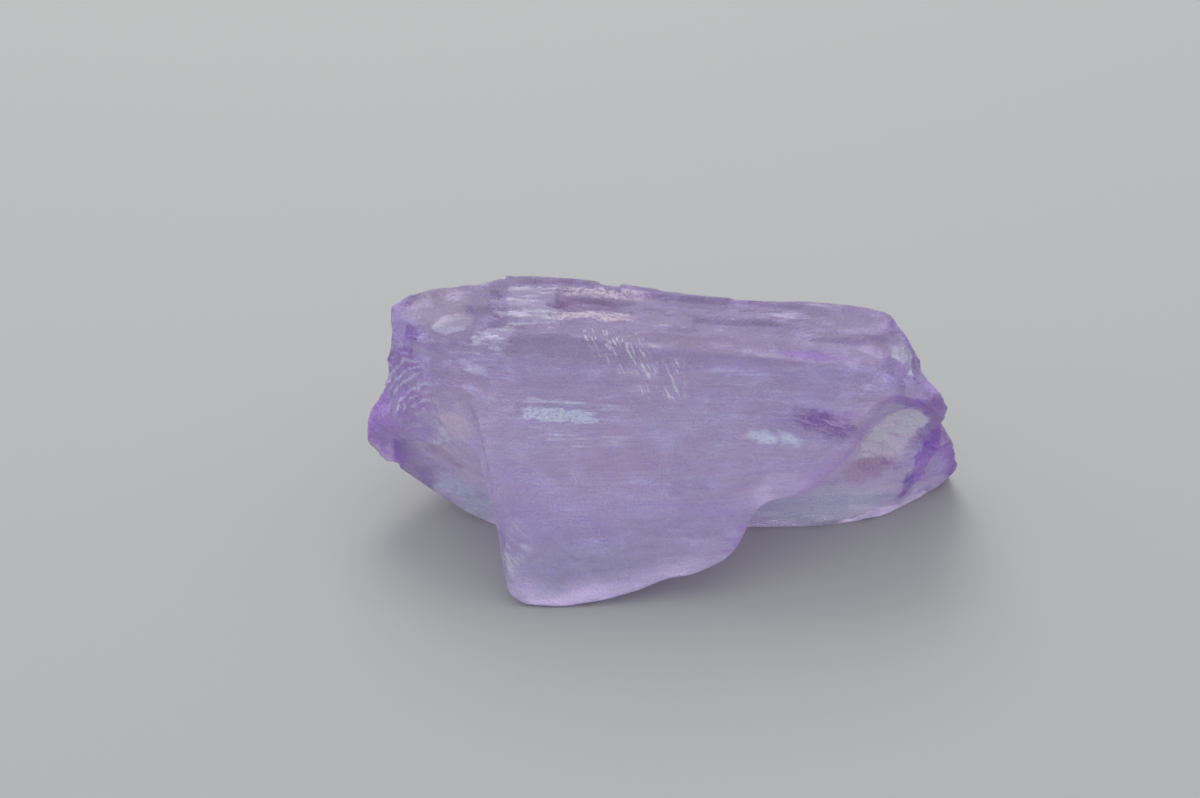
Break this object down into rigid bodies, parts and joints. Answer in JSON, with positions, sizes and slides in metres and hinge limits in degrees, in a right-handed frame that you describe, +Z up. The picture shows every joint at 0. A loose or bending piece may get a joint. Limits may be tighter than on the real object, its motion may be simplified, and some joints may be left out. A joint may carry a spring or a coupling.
{
  "type": "kunzite crystal",
  "caption": "Rough lilac kunzite crystal: a long cleaved blade leaning on its foot against a thicker core, see-through and frosted, lying as set down.",
  "frame": {"origin": "centre of the crystal's bounding box at the surface it rests on", "axes": "+Z up, +X along the crystal's length, -Y towards the side its cleavage face leans to"},
  "size_m": [0.0394, 0.0166, 0.0163],
  "materials": {
    "kunzite": "frosted translucent lilac, silky lengthwise cleavage, deeper violet at its broken ends"
  },
  "bodies": {
    "root": {"crystal": "kunzite"}
  },
  "joints": []
}
